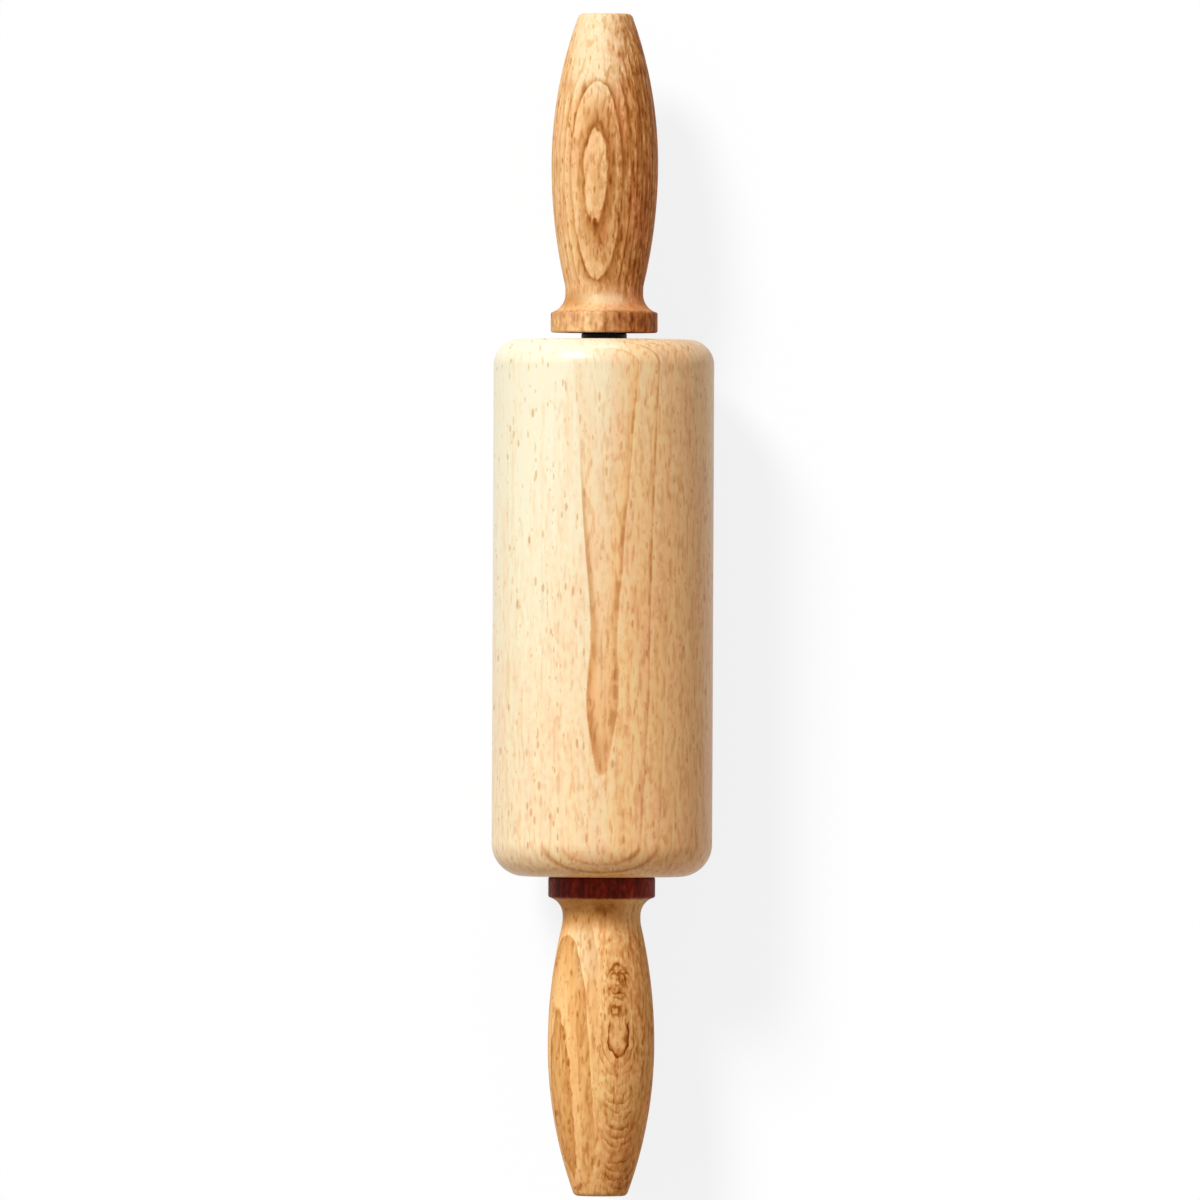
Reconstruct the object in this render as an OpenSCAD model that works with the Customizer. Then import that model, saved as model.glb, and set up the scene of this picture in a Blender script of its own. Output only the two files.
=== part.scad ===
// Rolling pin with a revolving roller, in millimetres. The axis lies along X and +Z is up. The origin is on the axis,
// midway between the ends of the two handles. At rest the roller lies against the right handle, so that all of its
// end play shows as a gap at the left handle.

/* [Roller] */
// Diameter of the rolling surface
roller_d = 60; // [50:1:80]
// Length of the roller over its end faces
roller_len = 146; // [110:1:300]
// Radius turned on the roller's left edge
roller_left_round = 7; // [1:0.5:11]
// Radius turned on the roller's right edge
roller_right_round = 9; // [1:0.5:11]
// Room on the radius between the spacer tube and the wood around it
core_room = 0.8; // [0.4:0.1:2]

/* [Axle rod] */
// Diameter of the steel rod
rod_d = 8; // [6:0.5:9]
// Depth to which the rod is pressed into each handle
rod_grip = 50; // [44:1:60]
// Chamfer on the ends of the rod
rod_chamfer = 0.8; // [0.3:0.1:1.5]
// Length of each knurled stretch of the rod
knurl_len = 32; // [10:1:38]
// Plain stretch between a knurl and the end of the rod
knurl_setback = 4; // [2:0.5:10]
// Height of the knurl's ridges, which bite into the wood
knurl_h = 0.15; // [0.05:0.05:0.3]
// Number of ridges around a knurl
knurl_ridges = 24; // [12:1:36]

/* [Spacer tube] */
// Wall of the plastic tube that keeps the handles apart
tube_wall = 2.15; // [1.5:0.05:3]
// Chamfer on the ends of the tube
tube_chamfer = 0.3; // [0.1:0.1:0.8]

/* [Bushes] */
// Wall of a bush around the tube
bush_wall = 2.75; // [2:0.25:4]
// Length of a bush with its flange
bush_len = 16; // [10:1:24]
// Thickness of a bush's flange, which lies flush in the roller's end
flange_t = 1.6; // [1:0.1:3]
// Width of the flange outside the wall of the bush
flange_lip = 3.5; // [2:0.5:5]
// Smooth stretch that leads the bush into its hole
bush_lead = 3; // [1:0.5:5]
// Number of barbs along a bush
bush_barbs = 4; // [2:1:6]
// Height of the barbs, which bite into the wood
barb_h = 0.2; // [0.1:0.05:0.4]
// Chamfer on the edges of a bush
bush_chamfer = 0.4; // [0.2:0.1:0.8]

/* [Handles] */
// Length of a handle from its collar's face to its end
handle_len = 86.7; // [78:0.1:110]
// Diameter of the collar next to the roller
collar_d = 29.1; // [26:0.1:31]
// Length of the collar along the axis, to where its cove begins
collar_len = 5.5; // [3:0.1:9]
// Radius of the cove between the collar and the neck
cove_r = 5; // [4.5:0.1:7]
// Diameter of the neck
neck_d = 21.2; // [19:0.1:25]
// Length of the straight stretch of the neck
neck_len = 1.2; // [0.4:0.1:4]
// Radius of the hollow between the neck and the barrel
hollow_r = 8; // [4:0.5:12]
// Diameter of the barrel where it is widest
barrel_d = 29; // [26:0.1:36]
// Distance from the collar's face to the widest place of the barrel
barrel_at = 45.6; // [38:0.1:55]
// Diameter to which the barrel narrows at the end
end_d = 14.2; // [10:0.1:20]
// Radius on the edge of the handle's end
end_round = 1.5; // [0.5:0.1:3]
// Radius on the two edges of the collar
collar_round = 0.6; // [0.2:0.1:1]

/* [Fits] */
// How far the roller can slide from one handle to the other
end_play = 1.7; // [0.5:0.1:5]
// Gap at an end face where a turning piece lies against a still one
face_gap = 0.1; // [0.05:0.01:0.3]
// Running clearance on the radius, rod to tube and tube to bush
run_gap = 0.05; // [0.02:0.01:0.1]
// Clearance on the radius around a bush's flange
flange_gap = 0.1; // [0.05:0.05:0.3]
// Angle of the drill that makes the blind hole in a handle
drill_angle = 118; // [90:1:140]

/* [Hidden] */

// Smoothness of the round surfaces
$fn = 144;

// Smoothness of the two long arcs of a handle's barrel
long_arc_steps = 720;

// How far a cut runs past the surface that it opens
over = 1;

// How far a stretch of an outline runs into its neighbours
lap = 0.02;

// Radii of the pieces that fit in one another, from the rod outwards
rod_r = rod_d / 2;
tube_bore_r = rod_r + run_gap;
tube_r = tube_bore_r + tube_wall;
bush_bore_r = tube_r + run_gap;
bush_r = bush_bore_r + bush_wall;
flange_r = bush_r + flange_lip;
core_r = tube_r + core_room;
roller_r = roller_d / 2;

// Radii of a handle
collar_r = collar_d / 2;
neck_r = neck_d / 2;
barrel_r = barrel_d / 2;
end_r = end_d / 2;

// Places along the axis
between_handles = roller_len + end_play + 2 * face_gap;
collar_face_x = between_handles / 2;
roller_right_x = collar_face_x - face_gap;
roller_left_x = roller_right_x - roller_len;
rod_len = between_handles + 2 * rod_grip;
tube_len = between_handles - 2 * face_gap;
barb_pitch = (bush_len - flange_t - bush_lead) / bush_barbs;
drill_tip = rod_r / tan(drill_angle / 2);

// Handle outline, as [radius, distance from the collar's face]. The cove comes down from the collar to the neck, and
// the collar's inner edge is rounded so that it runs into the cove without a corner.
cove_rise = neck_r + cove_r - collar_r;
neck_start = collar_len + sqrt(pow(cove_r, 2) - pow(cove_rise, 2));
cove_c = [neck_r + cove_r, neck_start];
collar_edge_c = [
    collar_r - collar_round,
    neck_start - sqrt(pow(cove_r + collar_round, 2) - pow(cove_rise + collar_round, 2))
];
cove_top = collar_edge_c + (cove_c - collar_edge_c) * collar_round / (cove_r + collar_round);

// The hollow leaves the neck and meets the barrel's inner arc, which is level where the barrel is widest
neck_end = neck_start + neck_len;
swell = barrel_r - neck_r;
inner_run = barrel_at - neck_end;
inner_arc_r = (pow(inner_run, 2) / swell + swell) / 2 - hollow_r;
inner_arc_c = [barrel_r - inner_arc_r, barrel_at];
hollow_c = [neck_r + hollow_r, neck_end];
hollow_top = inner_arc_c + (hollow_c - inner_arc_c) * inner_arc_r / (inner_arc_r + hollow_r);

// The outer arc narrows to the end, whose edge is rounded
taper = barrel_r - end_r;
outer_run = handle_len - barrel_at;
outer_arc_r = (pow(outer_run, 2) / taper + taper) / 2;
outer_arc_c = [barrel_r - outer_arc_r, barrel_at];
end_edge_c = [
    outer_arc_c[0] + sqrt(pow(outer_arc_r - end_round, 2) - pow(outer_run - end_round, 2)),
    handle_len - end_round
];
end_top = outer_arc_c + (end_edge_c - outer_arc_c) * outer_arc_r / (outer_arc_r - end_round);

// Colours
beech_light = [0.96, 0.86, 0.68];
beech_warm = [0.86, 0.66, 0.42];
black_plastic = [0.07, 0.07, 0.08];
bright_steel = [0.72, 0.73, 0.75];

// Turns an outline in [radius, length] about the pin's axis, with its length running towards +X
module turned() {
    rotate([0, 90, 0]) rotate_extrude() children();
}

// The part of an outline between two distances along the axis
module stretch_of(from, to, widest) {
    intersection() {
        translate([0, from]) square([widest, to - from]);
        children();
    }
}

// The half section of a round bar's end with a rounded edge, its face at zero
module bar_end_section(r, edge_round) {
    square([r - edge_round, 2 * edge_round]);
    translate([r - edge_round, edge_round]) circle(edge_round);
}

// The half section of a round bar with a rounded edge at each end
module bar_section(r, len, low_round, high_round) {
    translate([0, low_round]) square([r, len - low_round - high_round]);
    bar_end_section(r, low_round);
    translate([0, len]) mirror([0, 1]) bar_end_section(r, high_round);
}

// Outline of a handle, from the collar's face to the rounded end
module handle_section() {
    // Collar, with its face's edge rounded and its inner edge running into the cove
    translate([0, collar_round]) square([collar_r, collar_edge_c[1] - collar_round]);
    bar_end_section(collar_r, collar_round);
    stretch_of(collar_edge_c[1] - lap, cove_top[1] + lap, collar_r) {
        square([collar_edge_c[0], neck_start]);
        translate(collar_edge_c) circle(collar_round);
    }
    // Cove, neck and hollow
    difference() {
        translate([0, cove_top[1]]) square([cove_top[0], neck_start - cove_top[1]]);
        translate(cove_c) circle(cove_r);
    }
    translate([0, neck_start - lap]) square([neck_r, neck_len + 2 * lap]);
    difference() {
        translate([0, neck_end]) square([hollow_top[0], hollow_top[1] - neck_end]);
        translate(hollow_c) circle(hollow_r);
    }
    // Barrel and rounded end
    stretch_of(hollow_top[1] - lap, barrel_at, barrel_r)
        translate(inner_arc_c) circle(inner_arc_r, $fn = long_arc_steps);
    stretch_of(barrel_at - lap, end_top[1], barrel_r)
        translate(outer_arc_c) circle(outer_arc_r, $fn = long_arc_steps);
    stretch_of(end_top[1] - lap, handle_len, barrel_r) {
        square([end_edge_c[0], handle_len]);
        translate(end_edge_c) circle(end_round);
    }
}

// A turned handle with its blind hole, collar's face at the origin
module handle() {
    turned() difference() {
        handle_section();
        square([rod_r, rod_grip]);
        polygon([[0, rod_grip], [rod_r, rod_grip], [0, rod_grip + drill_tip]]);
    }
}

// A flanged bush with its flange's face at the origin
module bush() {
    barb_outline = [
        for (i = [0:bush_barbs - 1]) let (at = flange_t + i * barb_pitch)
            each [[bush_r, at], [bush_r + barb_h, at], [bush_r, at + barb_pitch]]
    ];
    turned() polygon(concat(
        [
            [bush_bore_r, bush_chamfer],
            [bush_bore_r + bush_chamfer, 0],
            [flange_r - bush_chamfer, 0],
            [flange_r, bush_chamfer],
            [flange_r, flange_t]
        ],
        barb_outline,
        [
            [bush_r, bush_len - bush_chamfer],
            [bush_r - bush_chamfer, bush_len],
            [bush_bore_r + bush_chamfer, bush_len],
            [bush_bore_r, bush_len - bush_chamfer]
        ]
    ));
}

// One knurled stretch of the rod, starting at the origin
module knurl() {
    step = 180 / knurl_ridges;
    rotate([0, 90, 0]) linear_extrude(knurl_len) polygon([
        for (i = [0:2 * knurl_ridges - 1]) let (r = i % 2 == 0 ? rod_r + knurl_h : rod_r - knurl_h)
            [r * cos(i * step), r * sin(i * step)]
    ]);
}

// Beech roller, bored through and counterbored for a bush at each end
module roller() {
    color(beech_light) translate([roller_left_x, 0, 0]) turned() difference() {
        bar_section(roller_r, roller_len, roller_left_round, roller_right_round);
        translate([0, -over]) square([core_r, roller_len + 2 * over]);
        translate([0, -over]) square([bush_r, bush_len + over]);
        translate([0, roller_len - bush_len]) square([bush_r, bush_len + over]);
        translate([0, -over]) square([flange_r + flange_gap, flange_t + over]);
        translate([0, roller_len - flange_t]) square([flange_r + flange_gap, flange_t + over]);
    }
}

// Bush in the roller's left end
module left_bush() {
    color(black_plastic) translate([roller_left_x, 0, 0]) bush();
}

// Bush in the roller's right end
module right_bush() {
    color(black_plastic) translate([roller_right_x, 0, 0]) mirror([1, 0, 0]) bush();
}

// Plastic tube over the rod, on which the bushes run
module spacer_tube() {
    half = tube_len / 2;
    color(black_plastic) turned() polygon([
        [tube_bore_r, -half],
        [tube_r - tube_chamfer, -half],
        [tube_r, tube_chamfer - half],
        [tube_r, half - tube_chamfer],
        [tube_r - tube_chamfer, half],
        [tube_bore_r, half]
    ]);
}

// Steel rod, knurled where the handles grip it
module axle_rod() {
    half = rod_len / 2;
    knurl_x = half - knurl_setback - knurl_len;
    color(bright_steel) union() {
        turned() polygon([
            [0, -half],
            [rod_r - rod_chamfer, -half],
            [rod_r, rod_chamfer - half],
            [rod_r, half - rod_chamfer],
            [rod_r - rod_chamfer, half],
            [0, half]
        ]);
        for (side = [0, 1]) mirror([side, 0, 0]) translate([knurl_x, 0, 0]) knurl();
    }
}

// Handle at the end where the gap shows
module left_handle() {
    color(beech_warm) mirror([1, 0, 0]) translate([collar_face_x, 0, 0]) handle();
}

// Handle that the roller lies against
module right_handle() {
    color(beech_warm) translate([collar_face_x, 0, 0]) handle();
}

roller();
left_bush();
right_bush();
spacer_tube();
axle_rod();
left_handle();
right_handle();
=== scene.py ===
# %% [markdown]
# # A turned beech rolling pin
#
# The pin is a thick beech roller that spins on a plastic tube between two turned handles. The
# construction comes from a imported frame, where every piece already has its place, in metres, with the
# pin's axis along X and +Z up. What is left to do here is the look: the curves of the turned wood, its
# figure, flecks and pores, the black plastic that shows in the gap, and the light. The frame's own box
# is kept at once, so that its size can be printed beside the finished pin's at the end.

# %% Load the frame
import math

import bmesh
import bpy
from mathutils import Matrix, Vector


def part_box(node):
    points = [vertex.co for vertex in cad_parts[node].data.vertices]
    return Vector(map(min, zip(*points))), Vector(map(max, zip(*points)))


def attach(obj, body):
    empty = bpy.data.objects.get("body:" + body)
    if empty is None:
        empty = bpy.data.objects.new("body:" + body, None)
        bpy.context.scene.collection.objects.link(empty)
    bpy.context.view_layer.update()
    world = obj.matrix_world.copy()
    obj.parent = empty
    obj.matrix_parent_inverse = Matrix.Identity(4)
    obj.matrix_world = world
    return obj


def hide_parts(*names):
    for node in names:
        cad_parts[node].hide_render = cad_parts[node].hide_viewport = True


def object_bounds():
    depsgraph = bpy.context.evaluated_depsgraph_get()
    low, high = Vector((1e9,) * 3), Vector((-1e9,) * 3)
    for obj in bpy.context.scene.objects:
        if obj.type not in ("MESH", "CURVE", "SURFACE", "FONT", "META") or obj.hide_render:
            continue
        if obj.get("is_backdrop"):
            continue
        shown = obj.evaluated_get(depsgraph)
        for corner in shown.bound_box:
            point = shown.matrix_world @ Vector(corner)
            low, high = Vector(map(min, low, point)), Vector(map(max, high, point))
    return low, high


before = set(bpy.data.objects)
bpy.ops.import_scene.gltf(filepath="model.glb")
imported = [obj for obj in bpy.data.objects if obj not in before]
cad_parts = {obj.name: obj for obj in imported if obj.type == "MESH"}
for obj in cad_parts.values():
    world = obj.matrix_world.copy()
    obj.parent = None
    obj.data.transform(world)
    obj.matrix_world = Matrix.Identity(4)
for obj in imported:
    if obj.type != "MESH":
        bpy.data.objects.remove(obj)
cad_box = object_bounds()
MM = 0.001
scene = bpy.context.scene
print("pieces in the frame:", ", ".join(sorted(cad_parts)))

# %% [markdown]
# ## Camera
#
# The pin was photographed from straight above with a long lens, the left handle at the top of the
# picture. One pixel of the 1200 px frame is 0.2718 mm on the pin. A short lens close by would show the
# roller's end faces, and none shows, so the lens is very long and stands far off. The pin lies a
# quarter of a degree off the upright. The camera's roll takes that up, so that the pin itself stays on
# its axis.

# %% Place the camera
PICTURE_PIXELS = 1200
PIXEL = 0.2718 * MM
VIEW_WIDTH = PICTURE_PIXELS * PIXEL
LENS_MM = 600
SENSOR_MM = 36
NEAREST = 0.01
FARTHEST = 100
PIN_LEAN = math.radians(0.25)
VIEW_CENTRE = Vector((-1.3 * MM, -0.8 * MM, 0))

lens = bpy.data.cameras.new("camera")
lens.lens = LENS_MM
lens.sensor_width = SENSOR_MM
camera = bpy.data.objects.new("camera", lens)
scene.collection.objects.link(camera)
scene.camera = camera
camera_height = VIEW_WIDTH * LENS_MM / SENSOR_MM
camera.location = VIEW_CENTRE + Vector((0, 0, camera_height))
picture_right = Vector((-math.sin(PIN_LEAN), math.cos(PIN_LEAN), 0))
picture_up = Vector((-math.cos(PIN_LEAN), -math.sin(PIN_LEAN), 0))
facing = Matrix((picture_right, picture_up, Vector((0, 0, 1)))).transposed()
camera.rotation_euler = facing.to_euler()
lens.clip_start = NEAREST
lens.clip_end = FARTHEST
print(f"camera {camera_height:.2f} m above the pin, {VIEW_WIDTH * 1000:.1f} mm across the picture")

# %% [markdown]
# ## Formulas in a node tree
#
# The figure of wood is a formula: how far a point lies from a growth ring. Math nodes can hold any
# formula, but dozens of them are hard to read. A small wrapper round a node's output lets the same
# formula be written as ordinary arithmetic, and each sign that Python meets puts one Math node in the
# tree. It serves shader trees and geometry trees alike.

# %% A wire that can be calculated with


def sign(operation, swapped=False):
    """A method that makes one Math node of a wire and another wire or number."""

    def method(self, other):
        pair = (other, self) if swapped else (self, other)
        return calc(operation, *pair)

    return method


class Wire:
    """A node's output that can be added, multiplied and so on, each sign making a node."""

    def __init__(self, tree, socket):
        self.tree = tree
        self.socket = socket

    def __neg__(self):
        return self * -1.0

    __add__ = sign("ADD")
    __radd__ = sign("ADD", swapped=True)
    __sub__ = sign("SUBTRACT")
    __rsub__ = sign("SUBTRACT", swapped=True)
    __mul__ = sign("MULTIPLY")
    __rmul__ = sign("MULTIPLY", swapped=True)
    __truediv__ = sign("DIVIDE")


def plug(value, socket):
    """Feeds a wire or a plain value into a socket."""
    if isinstance(value, Wire):
        value.tree.links.new(value.socket, socket)
    else:
        socket.default_value = value


def tree_of(values):
    """The tree that the wires among some values are in."""
    return next(value.tree for value in values if isinstance(value, Wire))


def feed(node, values):
    """Feeds values into a node's inputs by name, with _ for a space."""
    for label, value in values.items():
        plug(value, node.inputs[label.replace("_", " ")])


def add_node(tree, kind, **values):
    """A new node, with values for its inputs by name, and _ for a space."""
    node = tree.nodes.new(kind)
    feed(node, values)
    return node


def calc(operation, *values):
    """One Math node on one to three wires or numbers."""
    tree = tree_of(values)
    node = tree.nodes.new("ShaderNodeMath")
    node.operation = operation
    for place, value in enumerate(values):
        plug(value, node.inputs[place])
    return Wire(tree, node.outputs[0])


def ramp(value, low, high):
    """0 where a wire is at low and 1 at high, with a soft start and end. High may be below low."""
    node = add_node(value.tree, "ShaderNodeMapRange", Value=value, From_Min=low, From_Max=high)
    node.interpolation_type = "SMOOTHSTEP"
    return Wire(value.tree, node.outputs["Result"])


def absolute(value):
    """How far a wire is from 0, to either side."""
    return calc("ABSOLUTE", value)


def bell(value, middle, spread):
    """1 where a wire is at the middle, falling off on both sides."""
    share = (value - middle) / spread
    return calc("EXPONENT", -(share * share))


def vector(x, y, z):
    """Three wires or numbers as one vector."""
    tree = tree_of((x, y, z))
    return Wire(tree, add_node(tree, "ShaderNodeCombineXYZ", X=x, Y=y, Z=z).outputs[0])


def parts(wire):
    """The three numbers of a vector, as wires."""
    node = add_node(wire.tree, "ShaderNodeSeparateXYZ", Vector=wire)
    return [Wire(wire.tree, out) for out in node.outputs]


def in_mm(place):
    """The three numbers of a place in metres, as wires in millimetres."""
    return [part / MM for part in parts(place)]


def mix(amount, first, second):
    """A colour between two colours."""
    tree = amount.tree
    node = tree.nodes.new("ShaderNodeMix")
    node.data_type = "RGBA"
    plug(amount, node.inputs[0])
    plug(first, node.inputs[6])
    plug(second, node.inputs[7])
    return Wire(tree, node.outputs[2])


def mix_number(share, first, second):
    """A number between two numbers."""
    return first + share * (second - first)


def noise(place, detail=2.0):
    """Smooth cloudy values from about -0.5 to 0.5 over a place vector."""
    node = add_node(place.tree, "ShaderNodeTexNoise", Vector=place, Scale=1.0, Detail=detail)
    return Wire(place.tree, node.outputs[0]) - 0.5


def grain_noise(grain, tall, thick, shift=0.0, detail=1.0):
    """Cloudy values drawn out along the grain. Tall and thick are their sizes in millimetres."""
    along, across, up = grain
    return noise(vector(along / tall, across / thick, up / thick + shift), detail)


def paint(red, green, blue):
    """A colour as it looks on a screen, from 0 to 255, turned into the light values that nodes use."""
    shares = [c / 255 for c in (red, green, blue)]
    light = [s / 12.92 if s <= 0.04045 else ((s + 0.055) / 1.055) ** 2.4 for s in shares]
    return (*light, 1.0)


SOCKETS = {float: "NodeSocketFloat", int: "NodeSocketInt", tuple: "NodeSocketColor"}


def new_group(name, kind, inputs, outputs):
    """A node group with named inputs, given with their first values, or with a socket type where
    they have none. Returns the group, its input wires by name, and its output node."""
    group = bpy.data.node_groups.new(name, kind)
    for label, first in inputs.items():
        has_value = not isinstance(first, str)
        socket_type = SOCKETS[type(first)] if has_value else first
        socket = group.interface.new_socket(name=label, in_out="INPUT", socket_type=socket_type)
        if has_value:
            socket.default_value = first
    for label, socket_type in outputs.items():
        group.interface.new_socket(name=label, in_out="OUTPUT", socket_type=socket_type)
    start = group.nodes.new("NodeGroupInput")
    wires = {label: Wire(group, start.outputs[label]) for label in inputs}
    return group, wires, group.nodes.new("NodeGroupOutput")


def use_group(group, **values):
    """Places a group, with its values given by input name, _ for a space. Returns its outputs by name."""
    tree = tree_of(values.values())
    node = add_node(tree, "ShaderNodeGroup")
    node.node_tree = group
    feed(node, values)
    return {out.name: Wire(tree, out) for out in node.outputs}


print("formula helpers ready")

# %% [markdown]
# ## Light
#
# One broad lamp stands high at the picture's upper left. It brightens the left half of the roller,
# leaves the right edge at about a third, and lets the roller shade the collar of the handle below it.
# An area lamp would fall off over a wide floor, so the lamp is a sun whose disc is as wide as a softbox
# seen from the pin. The rest is a dim, warm room, as from wood and walls around, and only the camera
# and mirror-like surfaces see that room as white.

# %% Light the set
TO_KEY = Vector((-0.62, -0.42, 0.66)).normalized()
KEY_LEVEL = 0.95
KEY_WIDTH = math.radians(16)
KEY_COLOUR = (1.0, 0.99, 0.96)
FILL_COLOUR = (0.42, 0.31, 0.20)

sun = bpy.data.lights.new("key", "SUN")
sun.energy = math.pi * KEY_LEVEL
sun.angle = KEY_WIDTH
sun.color = KEY_COLOUR
key = bpy.data.objects.new("key", sun)
key.rotation_euler = TO_KEY.to_track_quat("Z", "Y").to_euler()
scene.collection.objects.link(key)
scene.view_settings.view_transform = "Standard"


def seen_directly(tree):
    """1 for rays from the camera, from gloss and through glass, and 0 for light between surfaces."""
    rays = add_node(tree, "ShaderNodeLightPath").outputs
    labels = ("Is Camera Ray", "Is Glossy Ray", "Is Transmission Ray")
    from_camera, from_gloss, through_glass = [Wire(tree, rays[label]) for label in labels]
    return calc("MAXIMUM", calc("MAXIMUM", from_camera, from_gloss), through_glass)


def show(tree, end, lighting, seen):
    """Ends a tree with one shader for the light between surfaces and another for what is seen."""
    choice = tree.nodes.new("ShaderNodeMixShader")
    plug(seen_directly(tree), choice.inputs[0])
    tree.links.new(lighting.outputs[0], choice.inputs[1])
    tree.links.new(seen.outputs[0], choice.inputs[2])
    tree.links.new(choice.outputs[0], tree.nodes.new(end).inputs["Surface"])


world = bpy.data.worlds.new("room")
world.use_nodes = True
scene.world = world
room = world.node_tree
room.nodes.clear()
fill = add_node(room, "ShaderNodeBackground", Color=(*FILL_COLOUR, 1))
white = add_node(room, "ShaderNodeBackground", Color=(1, 1, 1, 1))
show(room, "ShaderNodeOutputWorld", fill, white)
print(f"key lamp {math.degrees(math.asin(TO_KEY.z)):.0f} degrees above the floor")

# %% [markdown]
# ## Floor
#
# The picture's background is plain white. A floor that is only a white surface would need more light
# than the pin can take, so part of its brightness is its own glow, seen by the camera alone. The rest
# is lit as usual and keeps the pin's soft shadow. To the light that bounces off it, the floor is a warm
# mid tone, so it doesn't flatten the wood.

# %% Lay the floor
FLOOR_HALF = 3.0
FLOOR_PAINT = 0.18
FLOOR_BOUNCE = (0.44, 0.35, 0.23)
floor_light = [KEY_LEVEL * TO_KEY.z * k + f for k, f in zip(KEY_COLOUR, FILL_COLOUR)]
floor_glow = [1.0 - FLOOR_PAINT * light for light in floor_light]
floor_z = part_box("roller")[0].z

floor_mesh = bpy.data.meshes.new("floor")
signs = [(-1, -1), (1, -1), (1, 1), (-1, 1)]
corners = [(x * FLOOR_HALF, y * FLOOR_HALF, floor_z) for x, y in signs]
floor_mesh.from_pydata(corners, [], [(0, 1, 2, 3)])
floor = bpy.data.objects.new("floor", floor_mesh)
scene.collection.objects.link(floor)
floor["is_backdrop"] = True

floor_finish = bpy.data.materials.new("floor")
floor_finish.use_nodes = True
tree = floor_finish.node_tree
tree.nodes.clear()
painted = add_node(tree, "ShaderNodeBsdfDiffuse", Color=(FLOOR_PAINT, FLOOR_PAINT, FLOOR_PAINT, 1))
glow = add_node(tree, "ShaderNodeEmission", Color=(*floor_glow, 1))
bounce = add_node(tree, "ShaderNodeBsdfDiffuse", Color=(*FLOOR_BOUNCE, 1))
lit = tree.nodes.new("ShaderNodeAddShader")
tree.links.new(painted.outputs[0], lit.inputs[0])
tree.links.new(glow.outputs[0], lit.inputs[1])
show(tree, "ShaderNodeOutputMaterial", bounce, lit)
floor_mesh.materials.append(floor_finish)
print(f"floor at {floor_z * 1000:.1f} mm, glow", [round(g, 2) for g in floor_glow])

# %% [markdown]
# ## Growth rings
#
# Beech shows its yearly rings as a slow change from pale early wood to darker late wood, and then a
# sharp step back to pale. So the group takes a level, the distance in millimetres across the rings,
# keeps its part within one ring, and lets the tone fall from the step, with a thin darker line right at
# it. Each ring also gets a strength of its own. A wave texture would give even stripes, but the step
# and the odd years are what make it look like wood.

# %% Make the growth ring group
RING_INPUTS = {
    "Level": 0.0,
    "Ring Width": 2.0,
    "Edge": 0.05,
    "Fade": 2.0,
    "Depth": 0.5,
    "Line Width": 0.2,
    "Line Depth": 0.3,
    "Unevenness": 0.5,
    "Seed": 0.0,
}
rings, given, out = new_group("Growth rings", "ShaderNodeTree", RING_INPUTS, {"Tone": "NodeSocketFloat"})
turns = given["Level"] / given["Ring Width"]
within = calc("FRACT", turns)
year = calc("FLOOR", turns)
chance = add_node(rings, "ShaderNodeTexWhiteNoise", Vector=vector(year, given["Seed"], 0.0))
chance.noise_dimensions = "2D"
strength = 1.0 - given["Unevenness"] * (1.0 - Wire(rings, chance.outputs["Value"]))
depth_in = within * given["Ring Width"]
late = calc("POWER", 1.0 - within, given["Fade"]) * given["Depth"]
line = calc("EXPONENT", -(depth_in / given["Line Width"])) * given["Line Depth"]
plug((late + line) * strength * ramp(depth_in, 0.0, given["Edge"]), out.inputs["Tone"])
print("ring group has", len(rings.nodes), "nodes")

# %% [markdown]
# ## Ray flecks
#
# The short brown dashes all over beech are its rays: thin upright plates, 2 to 3 mm tall along the
# grain, about half a millimetre thick, and deep towards the heart. Where the surface lies along the
# rings they show as dashes, and where it cuts across them as broad silky flakes. Cells of a Voronoi
# texture, drawn out in the same way, each have room for one such plate, and only a share of them gets
# one. As the cells are solid, the dashes turn to flakes round the roller's sides by themselves.

# %% Make the fleck group
FLECK_INPUTS = {
    "Grain": "NodeSocketVector",
    "Tall": 2.6,
    "Thick": 0.42,
    "Deep": 6.0,
    "Share": 0.15,
    "Seed": 0.0,
}
flecks, given, out = new_group("Ray flecks", "ShaderNodeTree", FLECK_INPUTS, {"Fleck": "NodeSocketFloat"})
along, across, up = parts(given["Grain"])
drift = grain_noise((along, across, up), 14.0, 3.0, given["Seed"])
column = (across + 0.6 * drift) / given["Thick"]
layer = up / given["Deep"] + given["Seed"] * 1.7
plate = vector(calc("FLOOR", column), calc("FLOOR", layer), 0.0)
shift = add_node(flecks, "ShaderNodeTexWhiteNoise", Vector=plate)
shift.noise_dimensions = "2D"
scatter = Wire(flecks, shift.outputs["Value"]) * 9.0
in_cells = vector(along / given["Tall"] + scatter, column, layer)
cells = add_node(flecks, "ShaderNodeTexVoronoi", Vector=in_cells, Scale=1.0, Randomness=0.7)
lot, weight, size = parts(Wire(flecks, cells.outputs["Color"]))
chosen = calc("LESS_THAN", lot, given["Share"])
reach = 0.26 + 0.24 * size
shape = ramp(Wire(flecks, cells.outputs["Distance"]), reach, reach * 0.5)
plug(chosen * shape * (0.4 + 0.6 * weight), out.inputs["Fleck"])
print("fleck group has", len(flecks.nodes), "nodes")
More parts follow.
